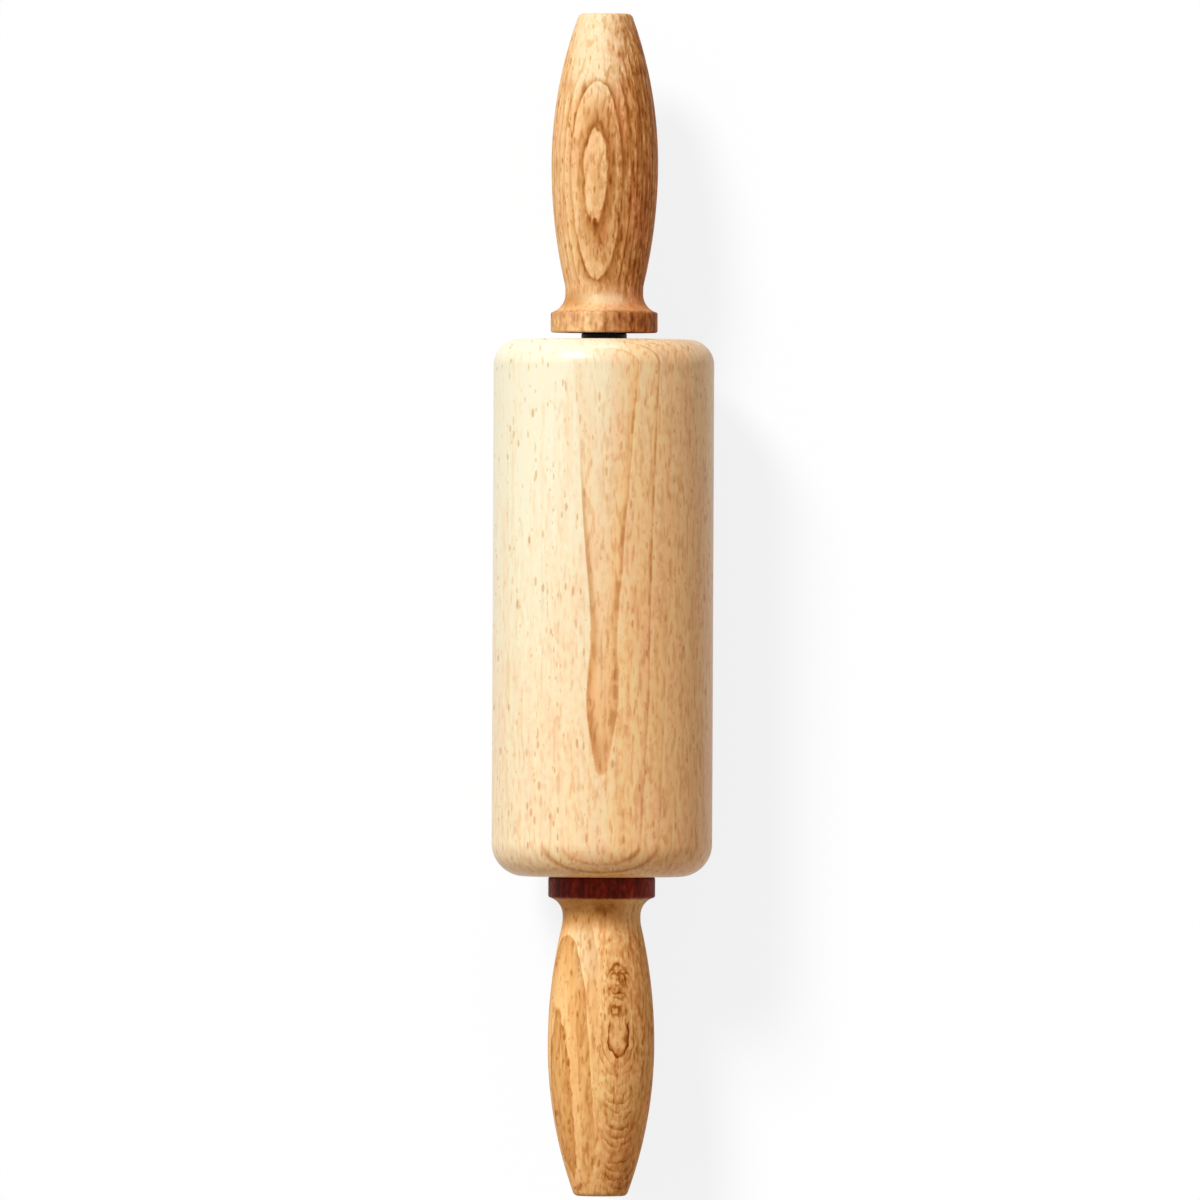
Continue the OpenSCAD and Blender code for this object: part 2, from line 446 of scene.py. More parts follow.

# %% [markdown]
# ## Turned beech
#
# The surface of the wood comes together in one group, which both handles and the roller use with their
# own values: a slow drift from pale to warm wood, pale and dark parts where the piece has them, and
# pink clouds as in steamed beech. Part of the drift and of the pale and dark parts is painted light and
# shade: the pale colour also paints highlights and light, the dark colour paints shade, and the marks
# that a figure adds can be painted shade too. All else only makes that colour lighter or darker: the
# rings, broken streaks, flecks in two sizes, and pores drawn out along the grain. Wood with more pigment
# gets darker and redder at once, as if it had one more coat of the same stain. So all those marks are
# added up to one number of coats, and a single colour, raised to that power, takes its share of the
# light. Mixing in a dark brown for each mark would turn the soft ones grey. The height feeds a Bump node
# outside, because pores are far too fine for the mesh. Fresh wood throws back no more than nine tenths
# of the light, so the colour stops there. The roller also gets a thin coat of rubbed wax or oil, which
# gives the soft glint on its rounded edge, and the handles are left dry.

# %% Make the beech group
SKIN = {"Colour": "NodeSocketColor", "Roughness": "NodeSocketFloat", "Height": "NodeSocketFloat"}
BEECH_INPUTS = {
    "Grain": "NodeSocketVector",
    "Ring Tone": 0.0,
    "Marks": 0.0,
    "Warmth": 0.0,
    "Pale": 0.0,
    "Dark": 0.0,
    "Early Wood": (1.0, 1.0, 1.0, 1.0),
    "Warm Wood": (0.8, 0.6, 0.4, 1.0),
    # The pale colour is also that of painted highlights and painted light on the handles.
    "Pale Wood": (1.0, 0.9, 0.7, 1.0),
    # The dark colour is also that of painted shade, such as the roller's shadow on a collar.
    "Dark Wood": (0.2, 0.05, 0.02, 1.0),
    "Blush": (0.9, 0.6, 0.45, 1.0),
    "Blush Depth": 0.3,
    "Stain": (0.55, 0.37, 0.19, 1.0),
    "Ring Depth": 1.0,
    "Streak Depth": 0.2,
    "Fleck Tall": 3.4,
    "Fleck Thick": 1.1,
    "Fleck Share": 0.3,
    "Fleck Depth": 0.6,
    "Speck Share": 0.3,
    "Speck Depth": 0.25,
    "Contrast": 0.5,
    "Lift": 1.0,
    "Coarseness": 1.0,
    "Gloss": 0.45,
    "Seed": 0.0,
}
beech, given, out = new_group("Turned beech", "ShaderNodeTree", BEECH_INPUTS, SKIN)
along, across, up = parts(given["Grain"])
seed = given["Seed"]
coarse = given["Coarseness"]
BRIGHTEST = (0.86, 0.88, 0.9)


def stretched(tall, thick, detail, shift):
    """Cloudy values drawn out along the grain, with their length and thickness in millimetres."""
    long = coarse * tall
    wide = coarse * thick
    place = vector(along / long + shift, across / wide, up / wide + seed)
    return noise(place, detail)


def clear(value):
    """A wire held between 0 and 1."""
    return calc("MAXIMUM", calc("MINIMUM", value, 1.0), 0.0)


def coats(stain, number):
    """The share of the light that a number of coats of a stain lets through. Below 0 coats it brightens."""
    return Wire(beech, add_node(beech, "ShaderNodeGamma", Color=stain, Gamma=number).outputs[0])


def by_colour(operation, first, second):
    """Two colours taken together channel by channel."""
    node = beech.nodes.new("ShaderNodeVectorMath")
    node.operation = operation
    plug(first, node.inputs[0])
    plug(second, node.inputs[1])
    return Wire(beech, node.outputs[0])


pores = stretched(1.8, 0.3, 1.0, 0.0)
fibres = stretched(7.0, 0.7, 1.0, 3.1)
streaks = stretched(22.0, 1.6, 1.0, 5.7)
mottle = stretched(1.7, 1.0, 1.0, 1.3)
clouds = stretched(14.0, 3.4, 2.0, 8.1)
dashes = stretched(3.4, 0.8, 1.0, 6.6)
tall_flecks = use_group(
    flecks,
    Grain=given["Grain"],
    Tall=given["Fleck Tall"],
    Thick=given["Fleck Thick"],
    Share=given["Fleck Share"],
    Seed=seed,
)["Fleck"]
small_flecks = use_group(
    flecks,
    Grain=given["Grain"],
    Tall=1.7,
    Thick=0.8,
    Deep=4.0,
    Share=given["Speck Share"],
    Seed=seed + 5.3,
)["Fleck"]
warm_share = clear(given["Warmth"])
liveliness = given["Contrast"] * (0.14 + 0.86 * warm_share)
tone = clear(given["Warmth"] + streaks * given["Contrast"])
body_colour = mix(tone, given["Early Wood"], given["Warm Wood"])
blush = ramp(clouds, -0.05, 0.2) * given["Blush Depth"] * (0.3 + 0.7 * warm_share)
blushed = mix(clear(blush), body_colour, given["Blush"])
# The pale mix is partly painted highlight and light, the dark mix partly painted shade.
washed = mix(clear(given["Pale"]), blushed, given["Pale Wood"])
darkened = mix(clear(given["Dark"]), washed, given["Dark Wood"])
broken = 1.0 + 1.8 * mottle + 1.5 * dashes
ring_coats = calc("MAXIMUM", given["Ring Tone"] * broken, 0.0) * given["Ring Depth"]
swing = liveliness * (0.8 * fibres + 1.3 * mottle + 1.5 * streaks + 0.2 * pores)
lively = calc("MINIMUM", swing, swing * given["Lift"])
streak_share = ramp(dashes + 0.4 * streaks, 0.04, 0.2) * (0.3 + 0.7 * warm_share)
softened = 1.0 - 0.7 * given["Pale"]
marks = small_flecks * given["Speck Depth"] + tall_flecks * given["Fleck Depth"]
in_dark = given["Dark"] * (3.2 * dashes + 3.6 * streaks)
in_streaks = streak_share * given["Streak Depth"]
# Marks may carry painted shade, as at the right handle's neck and under its collar.
number = ring_coats + given["Marks"] + softened * (marks - lively) + in_streaks - in_dark
stained = by_colour("MULTIPLY", darkened, coats(given["Stain"], number))
skin = {
    "Colour": by_colour("MINIMUM", stained, BRIGHTEST),
    "Roughness": given["Gloss"] + 0.10 * tall_flecks + 0.12 * pores - 0.04 * given["Ring Tone"],
    "Height": pores * 0.4 - tall_flecks * 0.7 - small_flecks * 0.3,
}
feed(out, skin)
print("beech group has", len(beech.nodes), "nodes")


def new_material(name):
    """A material, its shader, and the piece's own coordinates as a wire."""
    material = bpy.data.materials.new(name)
    material.use_nodes = True
    tree = material.node_tree
    tree.nodes.clear()
    shader = tree.nodes.new("ShaderNodeBsdfPrincipled")
    end = tree.nodes.new("ShaderNodeOutputMaterial")
    tree.links.new(shader.outputs[0], end.inputs["Surface"])
    place = tree.nodes.new("ShaderNodeTexCoord")
    return material, shader, Wire(tree, place.outputs["Object"])


PORE_DEPTH = 0.02 * MM
BUMP_STRENGTH = 0.5
WAX_ROUGHNESS = 0.24
WAX_IOR = 1.9


def bump(shader, height, depth=PORE_DEPTH, strength=BUMP_STRENGTH):
    """Lets a height wire shape the surface. Depth is how deep a height of 1 is, in metres."""
    node = add_node(height.tree, "ShaderNodeBump", Strength=strength, Distance=depth, Height=height)
    height.tree.links.new(node.outputs["Normal"], shader.inputs["Normal"])


def dress(shader, skin):
    """Gives a shader the colour, roughness and height that a group puts out."""
    feed(shader, {"Base Color": skin["Colour"], "Roughness": skin["Roughness"]})
    bump(shader, skin["Height"])


def grain_frame(place, lean):
    """Millimetres along, across and up from the pin's axis, turned by the lean of the tree's heart."""
    along, y, z = in_mm(place)
    across = y * math.cos(lean) - z * math.sin(lean)
    up = z * math.cos(lean) + y * math.sin(lean)
    return along, across, up


def beech_finish(name, lean, figure, sheen, wax, **values):
    """A beech material. The figure gives its rings, marks and drifts from the place in the grain."""
    material, shader, place = new_material(name)
    along, across, up = grain_frame(place, lean)
    values.update(figure(along, across, up))
    dress(shader, use_group(beech, Grain=vector(along, across, up), **values))
    feed(shader, {"Specular IOR Level": sheen, "Coat Weight": wax})
    feed(shader, {"Coat Roughness": WAX_ROUGHNESS, "Coat IOR": WAX_IOR})
    return material


def ring_tone(level, **values):
    """The tone of the rings at a level, from 0 in early wood to 1 and more at the end of a year."""
    return use_group(rings, Level=level, **values)["Tone"]


# %% [markdown]
# ## Figure of the roller
#
# The roller was turned from flat-sawn beech. The rings lie nearly level under its upper side, so they
# meet the round surface in one long flame that starts as a point near the right end and opens towards
# the left. Where a ring lies L below the top, a roller of radius r shows its edge at the square root of
# 2 r L from the middle. That gives the flame from a level that sinks towards the left, with a slight
# swelling near the point. The next rings follow by themselves as nearly straight lines down both sides,
# 2.5 mm apart in depth. They are faint where the roller is pale on the left, clearer on the right, and
# the flame is clearest, with an orange edge. The wood drifts from pale on the left to warm on the right,
# partly as painted light on the side towards the lamp and painted shade on the side away from it. Its
# right edge is lightened again as painted bounced light, and the rounding of the right end is warmer,
# partly as painted shade there.

# %% Make the roller's beech
ROLLER_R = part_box("roller")[1].z / MM
RING_WIDTH = 2.48
FLAME_TIP = 44.8
FLAME_TILT = 0.0015
FLAME_BEND = 1.05e-4
FLAME_START = 0.022
FLAME_STOP = 0.02
FLAME_DRIFT = 0.025
BULGE = 0.25
BULGE_AT = 19.0
BULGE_RUN = 13.0
EDGE_AT = 0.12


def roller_figure(along, across, up):
    """One flame on the upper side, and the rings below it."""
    grain = (along, across, up)
    back = FLAME_TIP - along
    opened = calc("MAXIMUM", back, 0.0)
    bulge = BULGE * bell(back, BULGE_AT, BULGE_RUN)
    closed = FLAME_STOP * calc("MINIMUM", back, 0.0)
    rise = FLAME_START + FLAME_TILT * back + closed + FLAME_BEND * opened * opened + bulge
    ripple = 0.03 + 0.07 * ramp(back, 6.0, 20.0)
    waver = grain_noise(grain, 14.0, 7.0, detail=2.0) * ripple
    drift = FLAME_DRIFT * across * ramp(along, 0.0, FLAME_TIP)
    level = up - ROLLER_R + rise + waver - drift
    soft = ramp(along, -25.0, -62.0) * ramp(across, 0.0, -4.0)
    tone = ring_tone(
        level,
        Ring_Width=RING_WIDTH,
        Edge=0.06 + 0.5 * soft,
        Fade=1.5,
        Depth=0.10,
        Line_Width=0.05 + 0.018 * absolute(across),
        Line_Depth=0.5,
        Unevenness=0.3,
        Seed=1.0,
    )
    in_flame = ramp(level, -0.01, 0.02 + 0.5 * soft) * ramp(up, 10.0, 14.0)
    aside = 0.14 + 0.8 * ramp(across, -4.0, 8.0) - 0.7 * ramp(across, 14.0, 19.0)
    at_rim = ramp(along, 64.0, 68.0)
    outside = mix_number(at_rim, aside, 0.4)
    broken = ramp(grain_noise(grain, 5.0, 9.0), -0.04, 0.1)
    right_edge = bell(level, EDGE_AT, 0.1) * ramp(across, 1.0, 3.0) * broken * in_flame
    second_share = ramp(across, 3.0, 6.0) * (0.2 + 0.8 * broken) + 0.6 * at_rim
    second = bell(level, EDGE_AT - RING_WIDTH, 0.17 + 0.2 * at_rim) * second_share
    third = bell(level, 0.25 - 2.0 * RING_WIDTH, 0.5) * at_rim
    left_share = ramp(across, -0.5, -2.5) * in_flame * ramp(along, -52.0, -20.0)
    left_edge = bell(level, 0.1, 0.1) * left_share
    near_tip = in_flame * ramp(along, -5.0, 45.0) * 0.22
    # Warmer towards the right: partly wood, partly painted light on the left and painted shade on the
    # right.
    warm_and_shaded_to_right = 0.25 * ramp(across, -24.0, -4.0) + 0.64 * ramp(across, -2.0, 9.0)
    # Past 18 mm the right edge turns paler again, as painted light bounced onto it.
    across_wood_and_light = warm_and_shaded_to_right - 0.15 * ramp(across, 18.0, 30.0)
    along_drift = 0.5 * ramp(along, -62.0, 70.0) - 0.1 * ramp(along, -45.0, -75.0) - 0.04
    far_right = 0.07 * ramp(across, 12.0, 18.0) * ramp(across, 29.0, 24.0)
    in_flame_drift = (0.1 + 0.22 * ramp(along, -75.0, -10.0)) * in_flame
    # Warmer on the rounding of the right end, partly as painted shade there.
    end_warm_and_shaded = ramp(along, 64.0, 72.0)
    return {
        "Ring_Tone": tone * mix_number(in_flame, outside, 1.0) + near_tip,
        "Marks": 0.55 * right_edge + 0.35 * left_edge + 0.5 * second + 0.6 * third + far_right - 0.05,
        "Warmth": across_wood_and_light + along_drift + in_flame_drift + 0.25 * end_warm_and_shaded,
    }


roller_beech = beech_finish(
    "beech_roller",
    lean=math.radians(0.8),
    figure=roller_figure,
    sheen=0.25,
    wax=0.17,
    Early_Wood=paint(240, 240, 219),
    Warm_Wood=paint(241, 200, 146),
    Blush=paint(244, 190, 150),
    Blush_Depth=0.4,
    Stain=(0.549, 0.368, 0.227, 1.0),
    Ring_Depth=0.85,
    Streak_Depth=0.3,
    Fleck_Tall=3.6,
    Fleck_Thick=1.0,
    Fleck_Share=0.16,
    Fleck_Depth=0.55,
    Speck_Share=0.12,
    Speck_Depth=0.33,
    Contrast=0.65,
    Lift=0.45,
    Coarseness=1.45,
    Gloss=0.40,
    Seed=1.0,
)
print("roller radius", round(ROLLER_R, 2), "mm")

# %% [markdown]
# ## Figure of the handles
#
# Each handle is a barrel, so rings that lie level under its upper side show as closed ovals, one in
# another. The left handle has two clear ovals, pale inside and dark just outside their edge: its rings
# were cut from the other side of the tree than the roller's, so the level runs the other way. The right
# handle's rings lie under its left flank, where they show as two long leaves, one in the other. Along
# its top runs a second figure where the grain comes up out of the grip: a few small curls under a
# little roof, and then a row of narrow bows, the first with long dark arms. Both handles are warmer and
# darker on their right, partly as painted shade on the side away from the lamp. The end of the left one
# is pale, partly as a painted highlight, and so is a patch in its cove. The right one has a painted
# highlight beside its leaves. Its collar is painted nearly black, partly as darker wood and mostly as
# the painted shadow that the roller casts on it, and its neck and cove get painted shade from that
# shadow, with painted light where it thins out to the right.

# %% Make the left handle's beech
BARREL_X = 119.55
BARREL_R = 14.5
COVE_FROM = 80.2
COLLAR_TO = 79.4
OVAL_BEND = 1 / 680
OVAL_TILT = 0.0105
OVAL_LEVEL = 14.203


def left_figure(along, across, up):
    """Two ovals, one in the other, and pale wood towards the end and in the cove."""
    grain = (along, across, up)
    past = along + BARREL_X
    slow = grain_noise(grain, 9.0, 3.0, 4.0) * 0.35
    quick = grain_noise(grain, 2.5, 1.2, 6.0) * 0.12
    level = OVAL_LEVEL - up - past * past * OVAL_BEND - OVAL_TILT * past + slow + quick
    tone = ring_tone(
        level,
        Ring_Width=1.38,
        Edge=0.07 + 0.03 * absolute(across),
        Fade=1.6,
        Depth=0.74,
        Line_Width=0.2,
        Line_Depth=1.1,
        Unevenness=0.3,
        Seed=2.0,
    )
    middle = ramp(absolute(across), 10.0, 5.0)
    beyond = ramp(past, -20.5, -24.0)
    on_left = ramp(across, -2.0, -8.0)
    at_neck = ramp(along, -93.0, -88.0)
    in_collar = ramp(along, -COVE_FROM, -COLLAR_TO)
    # The pale end is partly pale wood and partly a painted highlight.
    pale_stripe_and_highlight = ramp(past, -14.0, -24.0) * ramp(across, 4.0, -1.0) * ramp(across, -10.0, -5.0)
    pale_side = ramp(past, -13.0, -25.0) * ramp(across, 9.0, 4.0) * ramp(across, -2.0, 1.0)
    cove = bell(along, -82.6, 2.2)
    in_cove = bell(along, -83.2, 1.9) * ramp(across, -9.0, -3.0) * ramp(across, 10.0, 3.0)
    smooth = ramp(along, -85.5, -83.5) * (1.0 - in_collar)
    at_top = 1.0 - 0.95 * middle * beyond
    below = 1.0 - 0.85 * ramp(past, 30.0, 33.0) - 0.15 * smooth
    shares = at_top * below * (1.0 - 0.6 * on_left)
    bars = grain_noise(grain, 12.0, 1.3, 3.0)
    # Dark bars on the right next to the collar, partly painted shade on the side away from the lamp.
    on_right = ramp(across, 2.0, 8.0) * ramp(along, -80.0, -84.0)
    blotches = grain_noise(grain, 2.6, 1.8, 8.0)
    # The collar is blotchy, and darker on its right as painted shade.
    collar_wood_and_shade = in_collar * (0.2 + 0.5 * ramp(across, 0.0, 8.0) + 1.2 * blotches)
    # Warmer and darker towards the right, partly as painted shade.
    warm_and_shaded_to_right = 0.9 * ramp(across, -4.0, 14.0)
    return {
        "Ring_Tone": tone * shares,
        "Marks": on_right * 2.2 * bars
        + 0.55 * cove * ramp(across, 0.0, -6.0)
        + 0.15 * bell(along, -87.0, 3.0) * ramp(across, -2.0, 4.0)
        + 0.15 * in_collar * ramp(across, -5.0, -11.0),
        "Warmth": 0.12 + warm_and_shaded_to_right + 0.08 * ramp(past, -28.0, 0.0) + 0.05 * at_neck,
        "Pale": 0.8 * pale_stripe_and_highlight + 0.4 * pale_side + 0.65 * in_cove,
        "Dark": collar_wood_and_shade + 0.1 * bell(along, -85.0, 4.0),
        "Contrast": 1.5 - 1.2 * smooth,
        "Streak_Depth": 0.75 - 0.55 * smooth,
        "Fleck_Depth": 0.75 - 0.5 * smooth,
    }


HANDLE_VALUES = {
    "sheen": 0.15,
    "wax": 0.0,
    # The pale colour is also that of the handles' painted highlights and painted light.
    "Pale_Wood": paint(240, 224, 192),
    "Blush_Depth": 0.45,
    "Stain": (0.549, 0.368, 0.192, 1.0),
    "Ring_Depth": 1.25,
    "Streak_Depth": 0.75,
    "Fleck_Tall": 3.4,
    "Fleck_Thick": 0.95,
    "Fleck_Share": 0.32,
    "Fleck_Depth": 0.75,
    "Speck_Share": 0.3,
    "Speck_Depth": 0.45,
    "Lift": 0.8,
    "Coarseness": 1.25,
    "Gloss": 0.58,
}
left_beech = beech_finish(
    "beech_left_handle",
    lean=math.radians(-10.0),
    figure=left_figure,
    Early_Wood=paint(246, 213, 167),
    Warm_Wood=paint(204, 146, 86),
    Dark_Wood=paint(140, 74, 36),
    Blush=paint(232, 152, 116),
    Seed=2.0,
    **HANDLE_VALUES,
)
print("left handle: inner oval", round(BARREL_R - OVAL_LEVEL, 2), "mm below the top")

# %% Make the right handle's beech
LEAF_ANGLE = math.radians(-72)
LEAF_LEVEL = 11.2
LEAF_APEX = 89.4
LEAF_TILT = 0.012
LEAF_BEND = 0.0026
LEAF_TURN = 113.0
BOW_LEAN = math.radians(17)
BOW_LINE = 4.6
BOW_MIDDLE = 117.8
BOW_EASE = 5.0
BOW_PITCH = 2.3
BOW_CURVE = 0.07
ARM_CURVE = 0.094
CURL_START = 99.4
CURL_END = 111.4
CURL_PITCH = 3.2
CURL_R = 1.25
ROOF_AT = 97.6


def right_figure(along, across, up):
    """Two leaves on the left flank, and curls and a row of bows along the top."""
    grain = (along, across, up)
    waver = grain_noise(grain, 5.0, 3.2, 9.0)
    turned_on = calc("MAXIMUM", along - LEAF_TURN, 0.0)
    to_flank = up * math.cos(LEAF_ANGLE) + across * math.sin(LEAF_ANGLE)
    leaf_rise = LEAF_TILT * (along - LEAF_APEX) + LEAF_BEND * turned_on * turned_on
    leaves = ring_tone(
        to_flank + leaf_rise - LEAF_LEVEL + 0.5 * waver,
        Ring_Width=3.2,
        Edge=0.12,
        Fade=1.1,
        Depth=0.45,
        Line_Width=0.2,
        Line_Depth=0.3,
        Unevenness=0.1,
        Seed=3.0,
    )
    beside = across * math.cos(BOW_LEAN) + up * math.sin(BOW_LEAN) - BOW_LINE
    past = calc("MAXIMUM", along - BOW_MIDDLE, 0.0)
    away = calc("SQRT", past * past + BOW_EASE**2) - BOW_EASE
    curve = mix_number(ramp(along, 120.0, 127.0), ARM_CURVE, BOW_CURVE)
    quick = grain_noise(grain, 2.4, 1.7, 5.0)
    past_arms = ramp(along, 121.0, 125.0)
    bow_level = 0.9 - away / BOW_PITCH - curve * beside * beside + 0.7 * waver + 0.7 * quick
    bows = ring_tone(
        bow_level,
        Ring_Width=1.0,
        Edge=0.2,
        Fade=mix_number(ramp(along, 122.0, 128.0), 4.2, 2.0),
        Depth=1.0,
        Line_Width=mix_number(past_arms, 0.22, 0.13),
        Line_Depth=mix_number(past_arms, 0.7, 0.1),
        Unevenness=0.6,
        Seed=7.0,
    )
    place_in_curl = (calc("FRACT", (along - CURL_START) / CURL_PITCH) - 0.5) * CURL_PITCH
    beside_curl = 0.72 * beside + 2.6 * waver
    from_curl = calc("SQRT", place_in_curl * place_in_curl + beside_curl * beside_curl)
    curls = bell(from_curl + 4.2 * quick, CURL_R, 0.5) * ramp(along, CURL_START - 1.0, CURL_START)
    from_middle = absolute(beside)
    roof_line = along - 0.35 * beside * beside + 3.0 * quick
    roof = bell(roof_line, ROOF_AT, 0.6) * ramp(from_middle, 3.4, 2.4)
    on_flank = ramp(across, -4.0, -6.5)
    bow_reach = 5.8 - 1.2 * ramp(along, 126.0, 131.0)
    on_top = ramp(from_middle, bow_reach, bow_reach * 0.5)
    uneven = grain_noise(grain, 3.0, 3.0, 2.0)
    strength = 3.4 - 2.0 * ramp(along, 123.0, 126.0) - 0.9 * bell(along, 128.5, 3.5)
    chance = calc("MAXIMUM", 0.9 + 4.0 * uneven, 0.0)
    bow_share = on_top * ramp(along, 111.5, 114.5) * ramp(up, 0.0, 5.0) * strength
    curl_share = (1.3 * curls * ramp(along, CURL_END + 1.0, CURL_END) + roof) * ramp(up, 0.0, 5.0)
    in_collar = ramp(along, COVE_FROM, COLLAR_TO)
    # At the neck: painted shade from the roller's shadow on the left, painted light on the right.
    at_neck = ramp(along, 90.0, 84.0)
    # Painted shade in the cove under the collar.
    shade_under_collar = bell(along, 82.4, 1.7) * bell(across, -3.0, 5.0) * chance
    blotches = grain_noise(grain, 1.8, 1.3, 8.0)
    beside_leaf = ramp(across, -11.0, -8.5) * ramp(across, -3.0, -6.0)
    # A painted highlight beside the leaves, in the pale colour.
    painted_highlight = beside_leaf * ramp(along, 106.0, 96.0) * ramp(along, 85.0, 89.0)
    # Warmer and darker towards the right, partly as painted shade, and less so at the neck.
    warm_and_shaded_to_right = 0.45 * ramp(across, -10.0, 8.0) * (1.0 - 0.9 * at_neck)
    # The collar is painted nearly black: some darker wood, mostly the roller's painted shadow.
    collar_wood_and_shade = (1.0 - 0.04 * ramp(across, 3.0, 12.0)) * in_collar
    return {
        "Ring_Tone": leaves * on_flank * ramp(along, 85.0, 88.0),
        "Marks": (bows * bow_share + curl_share) * chance
        + 0.4 * at_neck * ramp(across, 5.0, -1.0)
        + 0.5 * shade_under_collar
        + in_collar * (3.4 * blotches - 0.15),
        "Warmth": 0.10 + warm_and_shaded_to_right + 0.2 * ramp(along, 130.0, 156.0),
        "Pale": 0.6 * painted_highlight + 0.4 * at_neck * ramp(across, 1.0, 8.0),
        "Dark": collar_wood_and_shade + 0.1 * at_neck + 0.06 * ramp(along, 154.0, 160.0),
        "Contrast": 1.5 + 0.7 * bell(along, 93.0, 7.0) * ramp(from_middle, 9.0, 5.0),
    }


right_beech = beech_finish(
    "beech_right_handle",
    lean=BOW_LEAN,
    figure=right_figure,
    Early_Wood=paint(247, 209, 152),
    Warm_Wood=paint(207, 145, 80),
    # This dark colour is mostly that of the roller's painted shadow on the collar.
    Dark_Wood=paint(116, 30, 12),
    Blush=paint(228, 148, 92),
    Seed=3.0,
    **HANDLE_VALUES,
)
print("right handle: bows", BOW_PITCH, "mm apart")

# %% [markdown]
# ## Turning on the lathe
#
# All three wooden pieces are turned, so each is one outline carried round the axis. A screw modifier
# would do that too. Geometry Nodes make it a rule with named sizes: a grid is wrapped round the axis,
# each of its rows takes the radius and place of one point of the outline, and the seam and the poles
# are merged. Between the lathe and the sandpaper a trace of the tool stays. So the radius also dips by
# a hundredth or two of a millimetre in fine rounds, which catch the light as on real turned wood.

# %% Build the lathe
SHARP_ANGLE = math.radians(32)
SKIN_FROM = 1.0 * MM
SEAM_GAP = 0.002 * MM
LATHE_INPUTS = {
    "Outline": "NodeSocketGeometry",
    "Faces Around": 192,
    "Tool Mark Pitch": 1.1 * MM,
    "Tool Mark Depth": 0.01 * MM,
    "Waver Depth": 0.02 * MM,
    "Seed": 0.0,
    "Material": "NodeSocketMaterial",
}
LATHE_OUTPUTS = {"Piece": "NodeSocketGeometry"}
lathe, given, out = new_group("Turned on the lathe", "GeometryNodeTree", LATHE_INPUTS, LATHE_OUTPUTS)


def geo(kind, **values):
    """A new node in the lathe tree."""
    return add_node(lathe, kind, **values)


def first(node):
    """A node's first output as a wire."""
    return Wire(lathe, node.outputs[0])


rows = Wire(lathe, geo("GeometryNodeAttributeDomainSize", Geometry=given["Outline"]).outputs["Point Count"])
sheet = geo(
    "GeometryNodeMeshGrid",
    Vertices_X=given["Faces Around"] + 1.0,
    Vertices_Y=rows,
    Size_X=1.0,
    Size_Y=1.0,
)
grid_x, grid_y, _ = parts(first(geo("GeometryNodeInputPosition")))
row = calc("ROUND", (grid_y + 0.5) * (rows - 1.0))
pick = geo("GeometryNodeSampleIndex")
pick.data_type = "FLOAT_VECTOR"
feed(pick, {"Geometry": given["Outline"], "Value": first(geo("GeometryNodeInputPosition")), "Index": row})
point_x, point_r, _ = parts(Wire(lathe, pick.outputs[0]))
turn = (grid_x + 0.5) * math.tau
side = calc("SINE", turn)
rise = calc("COSINE", turn)
mark_phase = point_x / given["Tool Mark Pitch"] + turn / math.tau
mark = 0.5 - 0.5 * calc("COSINE", mark_phase * math.tau)
waver_place = vector(point_x * 60.0 + given["Seed"], side * 1.5, rise * 1.5)
waver = 0.5 - noise(waver_place)
on_skin = calc("GREATER_THAN", point_r, SKIN_FROM)
cut = on_skin * (mark * given["Tool Mark Depth"] + waver * given["Waver Depth"])
radius = point_r - cut
place = vector(point_x, radius * side, -(radius * rise))
wrapped = geo("GeometryNodeSetPosition", Geometry=Wire(lathe, sheet.outputs["Mesh"]), Position=place)
closed = geo("GeometryNodeMergeByDistance", Geometry=first(wrapped), Distance=SEAM_GAP)
smooth = geo("GeometryNodeSetShadeSmooth", Geometry=first(closed), Shade_Smooth=True)
edge_angle = Wire(lathe, geo("GeometryNodeInputMeshEdgeAngle").outputs["Unsigned Angle"])
corner = calc("GREATER_THAN", edge_angle, SHARP_ANGLE)
sharp = geo(
    "GeometryNodeSetShadeSmooth",
    Geometry=first(smooth),
    Selection=corner,
    Shade_Smooth=False,
)
sharp.domain = "EDGE"
whole = geo("GeometryNodeRealizeInstances", Geometry=first(sharp))
finished = geo("GeometryNodeSetMaterial", Geometry=first(whole), Material=given["Material"])
plug(first(finished), out.inputs["Piece"])
print("lathe tree has", len(lathe.nodes), "nodes")

# %% [markdown]
# ## Outlines
#
# An outline is a list of points, each a place along the axis and a radius. Only straight runs and arcs
# are needed, and neighbouring arcs meet where the line between their centres crosses them, which is
# what makes the curve flow on without a corner. Runs are cut into short steps, because the tool marks
# live on them.

# %% Helpers for outlines
STEP = 0.35
SAME_POINT = 0.005


def arc(centre, r, start, stop):
    """Points of an arc between two angles in degrees, where 0 points along the axis and 90 away from it."""
    steps = max(4, round(abs(stop - start) * math.pi / 180 * r / STEP))
    angles = [math.radians(start + (stop - start) * i / steps) for i in range(steps + 1)]
    return [(centre[0] + r * math.cos(a), centre[1] + r * math.sin(a)) for a in angles]


def run(start, stop, step=STEP):
    """Points of a straight run, its ends included."""
    steps = max(1, round(math.dist(start, stop) / step))
    shares = [i / steps for i in range(steps + 1)]
    return [(start[0] + (stop[0] - start[0]) * s, start[1] + (stop[1] - start[1]) * s) for s in shares]


def towards(centre, other):
    """The angle in degrees at which another point is seen from a centre."""
    return math.degrees(math.atan2(other[1] - centre[1], other[0] - centre[0]))


def joined(*stretches):
    """One outline from stretches, with the points that neighbours share left out."""
    outline = []
    for stretch in stretches:
        for point in stretch:
            if not outline or math.dist(point, outline[-1]) > SAME_POINT:
                outline.append(point)
    return outline


